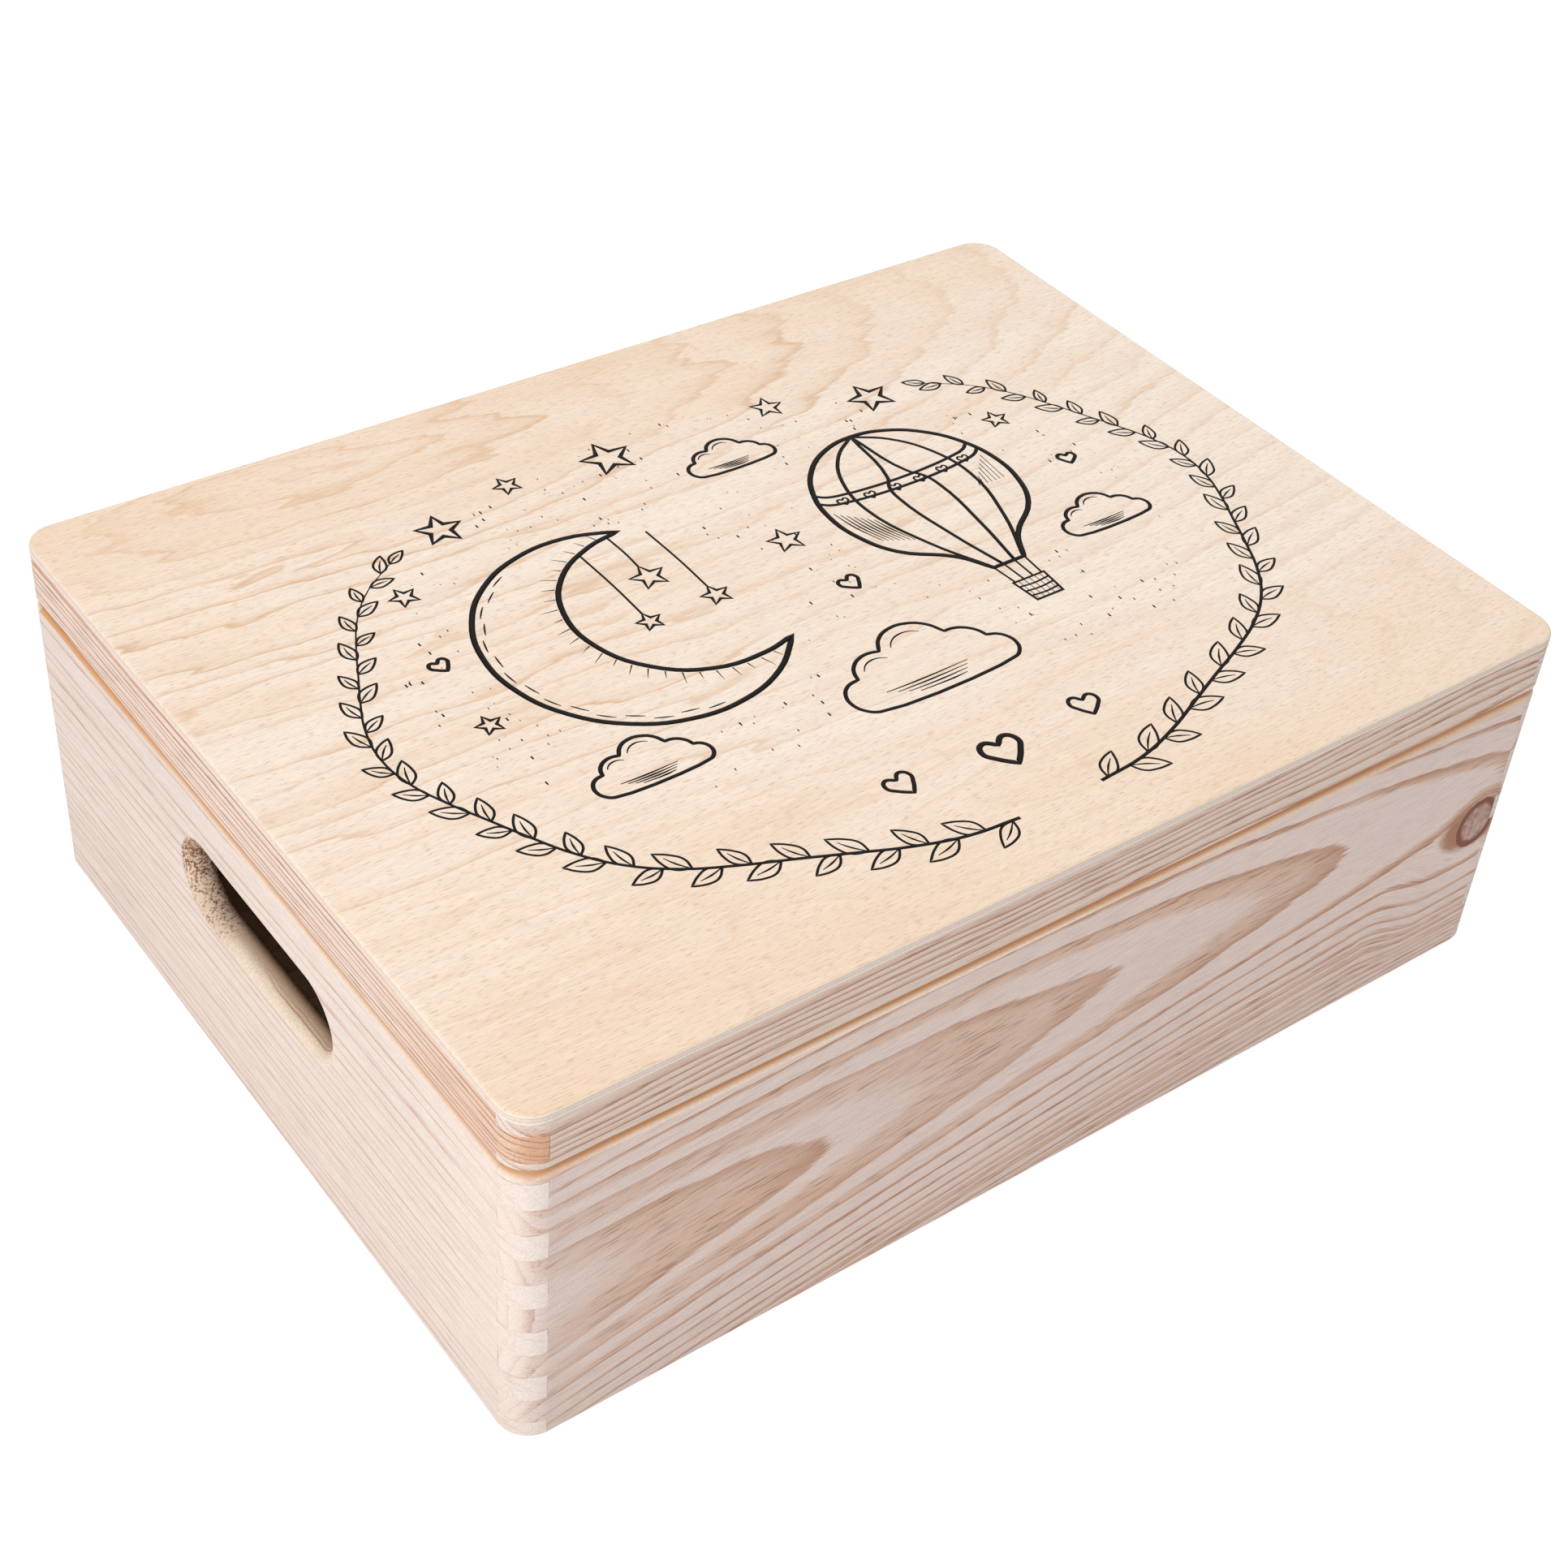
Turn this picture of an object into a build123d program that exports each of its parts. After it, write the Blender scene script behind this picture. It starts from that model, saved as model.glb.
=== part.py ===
from build123d import *
import os
from math import floor

# Keepsake box: a finger-jointed pine carcass sawn apart into a base and a lid, hinged at the back.
#
# Frame: X runs along the length, Y from front (-) to back (+), Z up. The origin is the middle of the
# underside. All sizes are millimetres. Boards are cut to one shared outline, as the real box is sanded
# after it is glued up.

# Overall carcass
box_length = 398.0
box_depth = 300.0
board_thickness = 10.0
corner_radius = 10.5
base_height = 112.5
lid_rail_height = 17.2
edge_bevel = 4.0

# Saw cut that parts the lid from the base, and the hairline left once both are sanded
saw_kerf = 2.2
parting_gap = 0.3

# Corner fingers, counted from the underside of the carcass
first_finger_height = 6.2
finger_pitch = 10.1

# Lid panel, glued on top of the rails
lid_panel_thickness = 3.0
lid_panel_ease = 1.2

# Floor panel, glued in a rebate round the underside
floor_thickness = 4.0
floor_rebate = 4.0
floor_corner_radius = 6.0
floor_clearance = 0.2

# Hand slots in the two end boards, routed through and rounded over on both faces
slot_length = 88.0
slot_height = 25.0
slot_middle_y = -3.0
slot_top_below_rim = 25.0
slot_rounding = 4.5

# Hinges, let into the meeting edges at the back
hinge_from_end = 75.0
hinge_length = 30.0
leaf_thickness = 0.8
leaf_inset = 1.0
barrel_radius = 1.9
barrel_axis_inset = 2.0
pin_radius = 0.9
pin_clearance = 0.05
knuckle_gap = 0.15
knuckle_clearance = 0.3
leaf_clearance = 0.1

# Countersunk screws that hold the leaves
screw_spacing = 18.0
screw_head_radius = 1.7
screw_shank_radius = 0.9
screw_length = 10.0
screw_clearance = 0.05
screw_slot_width = 0.5
screw_slot_depth = 0.35

# Levels and places worked out from the sizes above
lid_bottom = base_height + parting_gap
lid_rail_top = lid_bottom + lid_rail_height
sawn_away = saw_kerf - parting_gap
back_face = box_depth / 2
hinge_offset = box_length / 2 - hinge_from_end
axis_y = back_face - barrel_axis_inset
axis_z = base_height + parting_gap / 2
leaf_inner_y = back_face - board_thickness + leaf_inset
leaf_width = axis_y - leaf_inner_y
relief_radius = barrel_radius + knuckle_clearance
screw_y = (leaf_inner_y + axis_y - relief_radius) / 2
knuckle_length = (hinge_length - 2 * knuckle_gap) / 3
slot_middle_z = base_height - slot_top_below_rim - slot_height / 2

SIDE_BOARDS = 0
LONG_BOARDS = 1


def fingers(low, high, dropped, owner):
    """Heights (bottom, top) of the corner fingers between two levels that belong to one pair of boards.

    Fingers are counted on the uncut carcass, so the lid's are found after adding back what was sawn away.
    """
    count = floor((high + dropped - first_finger_height) / finger_pitch) + 2
    edges = [first_finger_height + n * finger_pitch - dropped for n in range(count)]
    levels = [low] + [edge for edge in edges if low < edge < high] + [high]
    layers = []
    for bottom, top in zip(levels, levels[1:]):
        middle = (bottom + top) / 2 + dropped
        number = floor((middle - first_finger_height) / finger_pitch) + 1
        if number % 2 == owner:
            layers.append((bottom, top))
    return layers


def board(label, side_x, side_y, low, high, dropped, outline, cuts=()):
    """One board of the carcass, on the side that (side_x, side_y) points to, with its corner fingers."""
    if side_x:
        owner = SIDE_BOARDS
        size = (board_thickness, box_depth)
    else:
        owner = LONG_BOARDS
        size = (box_length, board_thickness)
    middle = (
        side_x * (box_length - board_thickness) / 2,
        side_y * (box_depth - board_thickness) / 2,
    )
    corner_spacing = (box_length - board_thickness, box_depth - board_thickness)
    with BuildPart() as piece:
        with BuildSketch(Plane.XY.offset(low)):
            with Locations(middle):
                Rectangle(*size)
        extrude(amount=high - low)
        for bottom, top in fingers(low, high, dropped, 1 - owner):
            with BuildSketch(Plane.XY.offset(bottom)):
                with GridLocations(*corner_spacing, 2, 2):
                    Rectangle(board_thickness, board_thickness)
            extrude(amount=top - bottom, mode=Mode.SUBTRACT)
        add(outline, mode=Mode.INTERSECT)
        for cut in cuts:
            add(cut, mode=Mode.SUBTRACT)
    finish(piece, label)


def finish(piece, label):
    """Labels a piece and writes it."""
    piece.part.label = label
    export_step(piece.part, f"parts/{label}.step")


def barrel_cylinder(start, length, radius):
    """A cylinder on the hinge axis, from one X to another."""
    with BuildPart() as rod:
        with BuildSketch(Plane.YZ.offset(start)):
            with Locations((axis_y, axis_z)):
                Circle(radius)
        extrude(amount=length)
    return rod.part


def knuckle_starts(hinge_x):
    """Where the three knuckles of a hinge begin, in order along X."""
    first = hinge_x - hinge_length / 2
    return [first + n * (knuckle_length + knuckle_gap) for n in range(3)]


def hinge_leaf(label, hinge_x, direction, plate_bottom, own, other, bore_radius):
    """A leaf with its knuckles; direction is the way its screws point, down (-1) or up (+1)."""
    starts = knuckle_starts(hinge_x)
    face = plate_bottom if direction > 0 else plate_bottom + leaf_thickness
    with BuildPart() as leaf:
        with BuildSketch(Plane.XY.offset(plate_bottom)):
            with Locations((hinge_x, leaf_inner_y + leaf_width / 2)):
                Rectangle(hinge_length, leaf_width)
        extrude(amount=leaf_thickness)
        for n in own:
            add(barrel_cylinder(starts[n], knuckle_length, barrel_radius))
        for n in other:
            turning = barrel_cylinder(
                starts[n] - knuckle_gap, knuckle_length + 2 * knuckle_gap, relief_radius
            )
            add(turning, mode=Mode.SUBTRACT)
        whole_bore = barrel_cylinder(hinge_x - hinge_length, 2 * hinge_length, bore_radius)
        add(whole_bore, mode=Mode.SUBTRACT)
        for place in screw_places(hinge_x):
            with BuildSketch(Plane((*place, face))):
                Circle(screw_head_radius)
            with BuildSketch(Plane((*place, face + direction * leaf_thickness))):
                Circle(screw_head_radius - leaf_thickness)
            loft(mode=Mode.SUBTRACT)
    finish(leaf, label)


def screw_places(hinge_x):
    """Middles of the two screws of a leaf."""
    return [(hinge_x + side * screw_spacing / 2, screw_y) for side in (-1, 1)]


def screws(label, direction, face):
    """All the screws of the leaves on one side of the saw cut, each a solid of its own."""
    head_radius = screw_head_radius - screw_clearance
    shank_radius = screw_shank_radius - screw_clearance
    head_depth = head_radius - shank_radius
    with BuildPart() as group:
        for hinge_x in (-hinge_offset, hinge_offset):
            for place in screw_places(hinge_x):
                with BuildSketch(Plane((*place, face))):
                    Circle(head_radius)
                with BuildSketch(Plane((*place, face + direction * head_depth))):
                    Circle(shank_radius)
                loft()
                with BuildSketch(Plane((*place, face + direction * head_depth))):
                    Circle(shank_radius)
                extrude(amount=direction * (screw_length - head_depth))
                with BuildSketch(Plane((*place, face))):
                    Rectangle(2 * head_radius, screw_slot_width)
                extrude(amount=direction * screw_slot_depth, mode=Mode.SUBTRACT)
    finish(group, label)


def hinge_seat(direction, face, barrel_room):
    """What is cut from a board for both its leaves: the leaf recess, the barrel's room and pilot holes."""
    with BuildPart() as seat:
        for hinge_x in (-hinge_offset, hinge_offset):
            with BuildSketch(Plane.XY.offset(face)):
                with Locations((hinge_x, leaf_inner_y + leaf_width / 2)):
                    Rectangle(hinge_length + 2 * leaf_clearance, leaf_width + 2 * leaf_clearance)
            extrude(amount=direction * leaf_thickness)
            start = hinge_x - hinge_length / 2 - knuckle_clearance
            add(barrel_cylinder(start, hinge_length + 2 * knuckle_clearance, barrel_room))
            for place in screw_places(hinge_x):
                with BuildSketch(Plane((*place, face))):
                    Circle(screw_shank_radius)
                extrude(amount=direction * (screw_length + screw_clearance))
    return seat.part


def hand_slot(side):
    """The wood routed out of one end board; side is -1 for the left end and +1 for the right."""
    margin = 4 * slot_rounding
    block_middle = (side * (box_length - board_thickness) / 2, slot_middle_y, slot_middle_z)
    block_size = (board_thickness, slot_length + margin, slot_height + margin)
    with BuildPart() as surround:
        with Locations(block_middle):
            Box(*block_size)
        with BuildSketch(Plane.YZ.offset(block_middle[0])):
            with Locations((slot_middle_y, slot_middle_z)):
                SlotOverall(slot_length, slot_height)
        extrude(amount=board_thickness / 2, both=True, mode=Mode.SUBTRACT)
        pierced = surround.faces().filter_by(Axis.X)
        rims = [edge for face in pierced for wire in face.inner_wires() for edge in wire.edges()]
        fillet(rims, slot_rounding)
    with BuildPart() as plug:
        with Locations(block_middle):
            Box(*block_size)
        add(surround.part, mode=Mode.SUBTRACT)
    return plug.part


os.makedirs("parts", exist_ok=True)

# The outline that the base is sanded to: round corners, and a bevel round the rim
with BuildPart() as base_outline:
    with BuildSketch():
        RectangleRounded(box_length, box_depth, corner_radius)
    extrude(amount=base_height)
    chamfer(base_outline.faces().sort_by(Axis.Z)[-1].edges(), edge_bevel)

with BuildPart() as lid_outline:
    with BuildSketch(Plane.XY.offset(lid_bottom)):
        RectangleRounded(box_length, box_depth, corner_radius)
    extrude(amount=lid_rail_height)

# The rebate for the floor, cut round the underside with a router
rebate_length = box_length - 2 * (board_thickness - floor_rebate)
rebate_depth = box_depth - 2 * (board_thickness - floor_rebate)
with BuildPart() as floor_seat:
    with BuildSketch():
        RectangleRounded(rebate_length, rebate_depth, floor_corner_radius)
    extrude(amount=floor_thickness)

# Base boards
base_hinge_seat = hinge_seat(-1, base_height, relief_radius + knuckle_clearance)
base = (0, base_height, 0, base_outline.part)
board("front_wall", 0, -1, *base, cuts=[floor_seat.part])
board("back_wall", 0, 1, *base, cuts=[floor_seat.part, base_hinge_seat])
board("left_wall", -1, 0, *base, cuts=[floor_seat.part, hand_slot(-1)])
board("right_wall", 1, 0, *base, cuts=[floor_seat.part, hand_slot(1)])

with BuildPart() as bottom_panel:
    with BuildSketch():
        RectangleRounded(
            rebate_length - 2 * floor_clearance,
            rebate_depth - 2 * floor_clearance,
            floor_corner_radius - floor_clearance,
        )
    extrude(amount=floor_thickness)
finish(bottom_panel, "bottom_panel")

# Lid boards
lid_hinge_seat = hinge_seat(1, lid_bottom, relief_radius)
lid = (lid_bottom, lid_rail_top, sawn_away, lid_outline.part)
board("lid_front_rail", 0, -1, *lid)
board("lid_back_rail", 0, 1, *lid, cuts=[lid_hinge_seat])
board("lid_left_rail", -1, 0, *lid)
board("lid_right_rail", 1, 0, *lid)

with BuildPart() as lid_panel:
    with BuildSketch(Plane.XY.offset(lid_rail_top)):
        RectangleRounded(box_length, box_depth, corner_radius)
    extrude(amount=lid_panel_thickness)
    fillet(lid_panel.faces().sort_by(Axis.Z)[-1].edges(), lid_panel_ease)
finish(lid_panel, "lid_panel")

# Hinges: the base leaf has the outer knuckles and grips the pin, the lid leaf turns on it
for side, hinge_x in (("left", -hinge_offset), ("right", hinge_offset)):
    base_plate = base_height - leaf_thickness
    hinge_leaf(f"{side}_hinge_base_leaf", hinge_x, -1, base_plate, (0, 2), (1,), pin_radius)
    hinge_leaf(
        f"{side}_hinge_lid_leaf", hinge_x, 1, lid_bottom, (1,), (0, 2), pin_radius + pin_clearance
    )
    with BuildPart() as pin:
        add(barrel_cylinder(hinge_x - hinge_length / 2, hinge_length, pin_radius))
    finish(pin, f"{side}_hinge_pin")

screws("base_hinge_screws", -1, base_height)
screws("lid_hinge_screws", 1, lid_bottom)

print(f"hinge axis at y {axis_y:.2f}, z {axis_z:.2f}; lid top at {lid_rail_top + lid_panel_thickness:.2f}")
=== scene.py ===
"""Looks of the keepsake box: finger-jointed pine boards, a birch plywood lid with a printed picture and
zinc-plated steel hinges. Sizes and places of the box and its patterns are in millimetres until they reach
Blender, and those of the lamps and the table are in metres."""

import math
import random

import bpy
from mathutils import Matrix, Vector


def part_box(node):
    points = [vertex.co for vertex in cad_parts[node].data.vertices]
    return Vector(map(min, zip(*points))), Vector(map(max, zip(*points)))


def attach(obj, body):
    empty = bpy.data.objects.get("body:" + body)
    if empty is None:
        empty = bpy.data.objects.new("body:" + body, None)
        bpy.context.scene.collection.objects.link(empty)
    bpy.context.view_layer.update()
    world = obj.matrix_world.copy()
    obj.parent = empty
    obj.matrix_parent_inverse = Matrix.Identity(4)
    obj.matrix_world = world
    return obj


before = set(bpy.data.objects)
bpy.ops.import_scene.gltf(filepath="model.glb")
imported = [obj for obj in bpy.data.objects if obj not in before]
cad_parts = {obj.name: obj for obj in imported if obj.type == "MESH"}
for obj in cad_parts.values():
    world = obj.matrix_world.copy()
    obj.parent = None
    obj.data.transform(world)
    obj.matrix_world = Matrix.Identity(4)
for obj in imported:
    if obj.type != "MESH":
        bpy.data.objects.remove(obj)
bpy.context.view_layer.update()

# A millimetre in metres, and the side of the square picture in pixels
MM = 0.001
PICTURE_SIDE = 1932

# Levels and places read from the frame
RIM_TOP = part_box("front_wall")[1].z / MM
LID_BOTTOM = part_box("lid_front_rail")[0].z / MM
PANEL_BOTTOM, PANEL_TOP = (corner.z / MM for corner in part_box("lid_panel"))
FLOOR_BOTTOM, FLOOR_TOP = (corner.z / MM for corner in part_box("bottom_panel"))
HALF_LENGTH, HALF_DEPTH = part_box("lid_panel")[1].x / MM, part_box("lid_panel")[1].y / MM

# Sizes of the solids that the materials follow, with the height of one finger edge on base and lid
BOARD = 10.0
FINGER_PITCH = 10.1
BASE_FINGER, LID_FINGER = 6.2, 115.4
BEVEL = 4.0
SLOT_MIDDLE = (0.0, -3.0, 75.0)
SLOT_END, SLOT_RADIUS = 44.0, 12.5
FACE_VENEER = 0.8

# Setting of a range that starts and ends softly
EASED = {"interpolation_type": "SMOOTHSTEP"}

# Tones of the lid's rails: early wood, late wood and the line that ends a year
LID_TONES = ("EAD4C7", "CFA68B", "A3755A")

# Pens of the picture: their width at the start, middle and end of a stroke
BOLD, PEN, FINE = (2.0, 2.0, 2.0), (1.4, 1.4, 1.4), (0.85, 0.85, 0.85)
HAIR = (0.35, 0.75, 0.3)
# A round stroke is pressed to this share of its height, so the ink stands under 0.05 mm proud
INK_PRESSED = 0.045


# ---------------------------------------------------------------- camera, light and stage


def set_camera():
    """The camera looks down on the near corner, a little tilted."""
    focal_pixels = 3190.0
    centre_pixels = (1008.9, 953.0)
    place_mm = (-428.5, -523.9, 619.9)
    turn_degrees = (49.984, -4.252, -36.690)
    data = bpy.data.cameras.new("camera")
    data.sensor_width = 36.0
    data.lens = focal_pixels / PICTURE_SIDE * data.sensor_width
    data.shift_x = (PICTURE_SIDE / 2 - centre_pixels[0]) / PICTURE_SIDE
    data.shift_y = (centre_pixels[1] - PICTURE_SIDE / 2) / PICTURE_SIDE
    data.clip_start = 0.01
    data.clip_end = 50
    camera = bpy.data.objects.new("camera", data)
    camera.location = Vector(place_mm) * MM
    camera.rotation_euler = [math.radians(turn) for turn in turn_degrees]
    bpy.context.scene.collection.objects.link(camera)
    bpy.context.scene.camera = camera


def linear(code):
    """A hex sRGB colour as linear RGBA."""
    channels = [int(code[i:i + 2], 16) / 255 for i in (0, 2, 4)]
    curve = [c / 12.92 if c <= 0.04045 else ((c + 0.055) / 1.055) ** 2.4 for c in channels]
    return (*curve, 1.0)


def add(tree, kind, inputs=None, **settings):
    """Adds a node with its settings and links, and gives its outputs."""
    node = tree.nodes.new("ShaderNode" + kind)
    for name, value in settings.items():
        setattr(node, name, value)
    for socket, value in (inputs or {}).items():
        if isinstance(value, bpy.types.NodeSocket):
            tree.links.new(value, node.inputs[socket])
        else:
            node.inputs[socket].default_value = value
    return node.outputs


def product(tree, one, other):
    """One value times another."""
    return add(tree, "Math", {0: one, 1: other}, operation="MULTIPLY")[0]


def blend(tree, share, under, over):
    """A share of one colour over another."""
    return add(tree, "Mix", {0: share, 6: under, 7: over}, data_type="RGBA")[2]


def scaled(tree, vector, factor):
    """A colour, a place or a direction times a value."""
    return add(tree, "VectorMath", {0: vector, "Scale": factor}, operation="SCALE")[0]


def unevenness(tree, place, size, detail=1.0, roughness=0.5):
    """Noise between 0 and 1 in patches stretched to a size along x, y and z."""
    stretched = add(tree, "VectorMath", {0: place, 1: size}, operation="DIVIDE")[0]
    grain = {"Vector": stretched, "Scale": 1.0, "Detail": detail, "Roughness": roughness}
    return add(tree, "TexNoise", grain)[0]


def soft_box(name, place, aim, size, power):
    """A round diffused lamp of a size in metres and a power in watts that points at aim."""
    data = bpy.data.lights.new(name, "AREA")
    data.shape = "DISK"
    data.size = size
    data.energy = power
    lamp = bpy.data.objects.new(name, data)
    lamp.location = place
    lamp.rotation_euler = (Vector(aim) - Vector(place)).to_track_quat("-Z", "Y").to_euler()
    bpy.context.scene.collection.objects.link(lamp)


def seen_directly(tree):
    """1 for rays from the camera and for mirrored or refracted ones, 0 for those that light the box."""
    path = add(tree, "LightPath")
    either = add(tree, "Math", {0: path["Is Camera Ray"], 1: path["Is Glossy Ray"]}, operation="MAXIMUM")
    return add(tree, "Math", {0: either[0], 1: path["Is Transmission Ray"]}, operation="MAXIMUM")[0]


def light_studio():
    """White surroundings and two soft boxes, so the left end is bright and the front in half shade."""
    fill_light, seen_white = 0.44, 1.0
    world = bpy.data.worlds.new("studio")
    bpy.context.scene.world = world
    world.use_nodes = True
    tree = world.node_tree
    tree.nodes.clear()
    fill = add(tree, "Background", {"Color": linear("FFFFFF"), "Strength": fill_light})
    white = add(tree, "Background", {"Color": linear("FFFFFF"), "Strength": seen_white})
    mixed = add(tree, "MixShader", {0: seen_directly(tree), 1: fill[0], 2: white[0]})
    add(tree, "OutputWorld", {"Surface": mixed[0]})
    soft_box("left_soft_box", place=(-1.69, -0.8, 1.17), aim=(-0.1, -0.08, 0.06), size=1.1, power=21.6)
    soft_box("top_soft_box", place=(0.35, 0.4, 2.2), aim=(0, 0, 0.1), size=1.4, power=17.6)


def lay_table():
    """A matte white laminate table just under the box, seen as white apart from the box's shadow."""
    side, drop, lift = 24, 0.0002, 0.5
    bpy.ops.object.select_all(action="DESELECT")
    bpy.ops.mesh.primitive_plane_add(size=side, location=(0, 0, -drop))
    table = bpy.context.object
    table.name = "table"
    material = bpy.data.materials.new("white_laminate_table")
    material.use_nodes = True
    tree = material.node_tree
    tree.nodes.clear()
    matte = add(tree, "BsdfDiffuse", {"Color": linear("E6E6E6")})
    glow = add(tree, "Emission", {"Color": linear("FFFFFF"), "Strength": lift})
    lifted = add(tree, "AddShader", {0: matte[0], 1: glow[0]})
    mixed = add(tree, "MixShader", {0: seen_directly(tree), 1: matte[0], 2: lifted[0]})
    add(tree, "OutputMaterial", {"Surface": mixed[0]})
    table.data.materials.append(material)


# ---------------------------------------------------------------- wood


def start_material(name):
    """A material with an empty tree: gives it, its tree, the place in millimetres and the normal."""
    material = bpy.data.materials.new(name)
    material.use_nodes = True
    tree = material.node_tree
    tree.nodes.clear()
    coordinates = add(tree, "TexCoord")
    place = scaled(tree, coordinates["Object"], 1 / MM)
    return material, tree, place, coordinates["Normal"]


def grain_round_knot(tree, place, knot):
    """The place that the rings are read at, so that they part round a knot, and how far off the knot is.
    A knot is its centre, the share of each axis that counts and its radius."""
    centre, flat, radius = knot
    fade_per_mm, parting = 0.94, radius * 1.1
    away = add(tree, "VectorMath", {0: place, 1: centre}, operation="SUBTRACT")[0]
    away = add(tree, "VectorMath", {0: away, 1: flat}, operation="MULTIPLY")[0]
    distance = add(tree, "VectorMath", {0: away}, operation="LENGTH")["Value"]
    fade = add(tree, "Math", {0: fade_per_mm, 1: distance}, operation="POWER")[0]
    push = product(tree, fade, parting)
    direction = add(tree, "VectorMath", {0: away}, operation="NORMALIZE")[0]
    offset = scaled(tree, direction, push)
    return add(tree, "VectorMath", {0: place, 1: offset}, operation="SUBTRACT")[0], distance


def paint_knot(tree, colour, place, distance, knot):
    """A dark bark ring round a pinkish-brown branch end, in a flame of stained wood along the grain."""
    centre, flat, radius = knot
    ragged = add(tree, "TexNoise", {"Vector": place, "Scale": 0.3, "Detail": 3.0})[0]
    ragged = add(tree, "Math", {0: ragged, 1: 3.0, 2: -1.5}, operation="MULTIPLY_ADD")[0]
    flame = add(tree, "VectorMath", {0: place, 1: centre}, operation="SUBTRACT")[0]
    flame_shape = (0.62 * flat[0], 0.62 * flat[1], 1.02)
    flame = add(tree, "VectorMath", {0: flame, 1: flame_shape}, operation="MULTIPLY")[0]
    flame = add(tree, "VectorMath", {0: flame}, operation="LENGTH")["Value"]
    flame = add(tree, "Math", {0: flame, 1: ragged}, operation="ADD")[0]
    reach = {0: flame, 1: radius * 1.35, 2: radius * 0.9, 3: 0.0, 4: 0.9}
    flame = add(tree, "MapRange", reach, **EASED)[0]
    colour = blend(tree, flame, colour, linear("A0683F"))
    ragged = add(tree, "Math", {0: ragged, 1: 0.4, 2: distance}, operation="MULTIPLY_ADD")[0]
    inside = add(tree, "MapRange", {0: ragged, 1: radius + 0.5, 2: radius - 0.4}, **EASED)[0]
    mottle = add(tree, "TexNoise", {"Vector": place, "Scale": 0.55, "Detail": 3.0})[0]
    mottle = add(tree, "MapRange", {0: mottle, 1: 0.35, 2: 0.65})[0]
    branch = blend(tree, mottle, linear("C9A99D"), linear("A17A6C"))
    bark = add(tree, "MapRange", {0: ragged, 1: radius - 3.4, 2: radius - 1.6}, **EASED)[0]
    branch = blend(tree, bark, branch, linear("7C3D29"))
    return blend(tree, inside, colour, branch)


def paint_fresh_cut(tree, colour, place, normal_z, end, grain, glow):
    """The rim cut by the saw and the bevel planed after it are fresh, so yellower, with amber streaks, and
    the upper part of the base's bevel is painted orange-brown as shade from the parting gap under the lid."""
    x, y, z = add(tree, "SeparateXYZ", {0: place})
    length = x if grain == "X" else y
    flat = add(tree, "Math", {0: normal_z}, operation="ABSOLUTE")[0]
    level = add(tree, "MapRange", {0: flat, 1: 0.1, 2: 0.32}, **EASED)[0]
    parting = (RIM_TOP + LID_BOTTOM) / 2
    gap_shade_low, gap_shade_full = RIM_TOP - 3.9, RIM_TOP - 2.4
    near_cut = add(tree, "Math", {0: z, 1: parting}, operation="SUBTRACT")[0]
    near_cut = add(tree, "Math", {0: near_cut}, operation="ABSOLUTE")[0]
    near_cut = add(tree, "MapRange", {0: near_cut, 1: BEVEL + 1.4, 2: BEVEL + 0.6})[0]
    fresh = product(tree, level, near_cut)
    streak = unevenness(tree, place, (130, 3, 3) if grain == "X" else (3, 130, 3), 2.0)
    streak = add(tree, "MapRange", {0: streak, 1: 0.42, 2: 0.62, 3: 0.0, 4: 0.4}, **EASED)[0]
    streak = add(tree, "Math", {0: streak, 1: end}, operation="SUBTRACT", use_clamp=True)[0]
    streak = add(tree, "Math", {0: length, 1: glow, 2: streak}, operation="MULTIPLY_ADD", use_clamp=True)[0]
    cut_colour = blend(tree, streak, linear("FBE9D6"), linear("E4A66C"))
    fuzz = add(tree, "TexNoise", {"Vector": place, "Scale": 1.5, "Detail": 3.0})[0]
    fuzz = add(tree, "MapRange", {0: fuzz, 1: 0.35, 2: 0.65, 3: 0.93, 4: 1.05})[0]
    cut_colour = scaled(tree, cut_colour, fuzz)
    # Painted shade: the upper part of the base's bevel, deep under the lid's edge, turns orange-brown as
    # the parting gap would shade it; flat faces are left out
    painted_gap_shade = add(tree, "MapRange", {0: z, 1: gap_shade_low, 2: gap_shade_full, 3: 0.0, 4: 0.85}, **EASED)[0]
    slanted = add(tree, "MapRange", {0: flat, 1: 0.95, 2: 0.85})[0]
    painted_gap_shade = product(tree, painted_gap_shade, slanted)
    cut_colour = blend(tree, painted_gap_shade, cut_colour, linear("C78A54"))
    return blend(tree, fresh, colour, cut_colour)


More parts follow.
